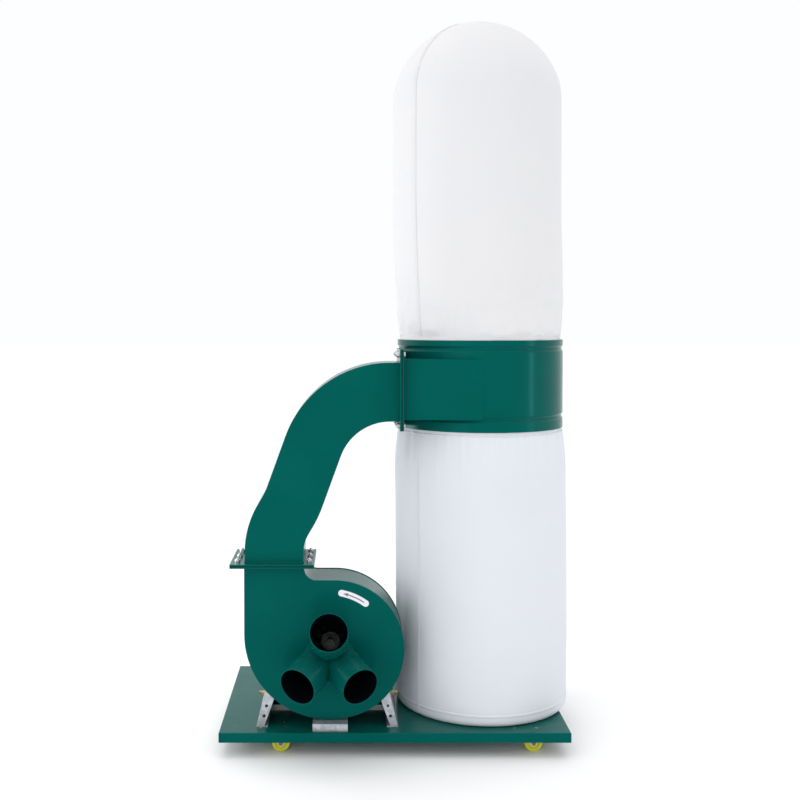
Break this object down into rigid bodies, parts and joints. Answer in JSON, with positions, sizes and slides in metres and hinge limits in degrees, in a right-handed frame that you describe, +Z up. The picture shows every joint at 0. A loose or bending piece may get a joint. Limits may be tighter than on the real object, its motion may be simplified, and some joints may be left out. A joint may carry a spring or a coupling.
{
  "type": "dust collector",
  "caption": "Portable single-bag dust collector: fan casing with hose inlets, duct to a bag ring, upper filter bag, lower dust bag, tray on casters.",
  "frame": {"origin": "on the floor, under the middle of the whole machine", "axes": "+Z up, -Y is the front with the hose inlets, +X towards the bags"},
  "size_m": [0.98, 0.676, 2.045],
  "materials": {
    "green_enamel": "gloss",
    "motor_enamel": "semi-gloss",
    "galvanised_sheet": "spangled",
    "zinc_plated_steel": "satin",
    "yellow_zinc_steel": "satin",
    "spring_steel": "satin",
    "bright_steel": "ground",
    "lamination_steel": "dull",
    "black_enamel": "semi-gloss",
    "impeller_steel": "dull",
    "copper_wire": "enamelled",
    "cast_aluminium": "cast",
    "gasket_rubber": "matt",
    "black_plastic": "matt",
    "yellow_polyurethane": "moulded",
    "label_film": "printed",
    "green_button": "moulded",
    "red_button": "moulded",
    "filter_cloth": "woven",
    "collection_cloth": "woven"
  },
  "bodies": {
    "machine": {"base_bolts": "yellow_zinc_steel", "base_tray": "green_enamel", "cable_gland": "black_plastic", "casing_back_plate": "green_enamel", "casing_front_plate": "green_enamel", "casing_outlet_flange": "green_enamel", "casing_support_bracket": "galvanised_sheet", "caster_plates": "zinc_plated_steel", "collection_bag": "collection_cloth", "direction_label": "label_film", "drive_end_shield": "motor_enamel", "duct_lower_flange": "green_enamel", "duct_upper_flange": "green_enamel", "fan_cowl": "motor_enamel", "filter_bag": "filter_cloth", "flange_bolts": "zinc_plated_steel", "flange_gaskets": "gasket_rubber", "inlet_tube_left": "green_enamel", "inlet_tube_right": "green_enamel", "inlet_tube_top": "green_enamel", "leg_bolts": "yellow_zinc_steel", "motor_bearings": "bright_steel", "motor_frame": "motor_enamel", "motor_mount_plate": "black_enamel", "rear_end_shield": "motor_enamel", "ring_inlet_box": "green_enamel", "ring_inlet_flange": "green_enamel", "scroll_wall": "green_enamel", "separator_ring": "green_enamel", "snap_hoops": "spring_steel", "stand_side_plate_left": "galvanised_sheet", "stand_side_plate_right": "galvanised_sheet", "stator_core": "lamination_steel", "stator_windings": "copper_wire", "swan_neck_duct": "green_enamel", "terminal_box": "motor_enamel", "terminal_box_lid": "motor_enamel"},
    "rotor": {"motor_shaft": "bright_steel", "rotor_core": "lamination_steel", "cooling_fan": "black_plastic", "impeller_disc": "impeller_steel", "impeller_blades": "impeller_steel", "impeller_hub": "cast_aluminium", "hub_washer": "zinc_plated_steel", "hub_screw": "zinc_plated_steel"},
    "swivel_front_left": {"caster_fork_front_left": "zinc_plated_steel", "caster_axle_front_left": "zinc_plated_steel"},
    "wheel_front_left": {"caster_wheel_front_left": "yellow_polyurethane"},
    "swivel_front_right": {"caster_fork_front_right": "zinc_plated_steel", "caster_axle_front_right": "zinc_plated_steel"},
    "wheel_front_right": {"caster_wheel_front_right": "yellow_polyurethane"},
    "swivel_rear_left": {"caster_fork_rear_left": "zinc_plated_steel", "caster_axle_rear_left": "zinc_plated_steel"},
    "wheel_rear_left": {"caster_wheel_rear_left": "yellow_polyurethane"},
    "swivel_rear_right": {"caster_fork_rear_right": "zinc_plated_steel", "caster_axle_rear_right": "zinc_plated_steel"},
    "wheel_rear_right": {"caster_wheel_rear_right": "yellow_polyurethane"},
    "start_button": {"start_button": "green_button"},
    "stop_button": {"stop_button": "red_button"}
  },
  "joints": [
    {"name": "rotor_spin", "type": "hinge", "parent": "machine", "child": "rotor", "pos_m": [-0.191, -0.065, 0.273], "axis": [0, 1, 0], "continuous": true},
    {"name": "caster_swivel_front_left", "type": "hinge", "parent": "machine", "child": "swivel_front_left", "pos_m": [-0.349, -0.165, 0.055], "axis": [0, 0, 1], "continuous": true},
    {"name": "wheel_spin_front_left", "type": "hinge", "parent": "swivel_front_left", "child": "wheel_front_left", "pos_m": [-0.325, -0.165, 0.025], "axis": [0, 1, 0], "continuous": true},
    {"name": "caster_swivel_front_right", "type": "hinge", "parent": "machine", "child": "swivel_front_right", "pos_m": [0.342, -0.165, 0.055], "axis": [0, 0, 1], "continuous": true},
    {"name": "wheel_spin_front_right", "type": "hinge", "parent": "swivel_front_right", "child": "wheel_front_right", "pos_m": [0.366, -0.165, 0.025], "axis": [0, 1, 0], "continuous": true},
    {"name": "caster_swivel_rear_left", "type": "hinge", "parent": "machine", "child": "swivel_rear_left", "pos_m": [-0.349, 0.275, 0.055], "axis": [0, 0, 1], "continuous": true},
    {"name": "wheel_spin_rear_left", "type": "hinge", "parent": "swivel_rear_left", "child": "wheel_rear_left", "pos_m": [-0.325, 0.275, 0.025], "axis": [0, 1, 0], "continuous": true},
    {"name": "caster_swivel_rear_right", "type": "hinge", "parent": "machine", "child": "swivel_rear_right", "pos_m": [0.342, 0.275, 0.055], "axis": [0, 0, 1], "continuous": true},
    {"name": "wheel_spin_rear_right", "type": "hinge", "parent": "swivel_rear_right", "child": "wheel_rear_right", "pos_m": [0.366, 0.275, 0.025], "axis": [0, 1, 0], "continuous": true},
    {"name": "start_press", "type": "slide", "parent": "machine", "child": "start_button", "axis": [0, 0, -1], "range_m": [0, 0.004], "stiffness_N_per_m": 400},
    {"name": "stop_press", "type": "slide", "parent": "machine", "child": "stop_button", "axis": [0, 0, -1], "range_m": [0, 0.004], "stiffness_N_per_m": 400}
  ]
}
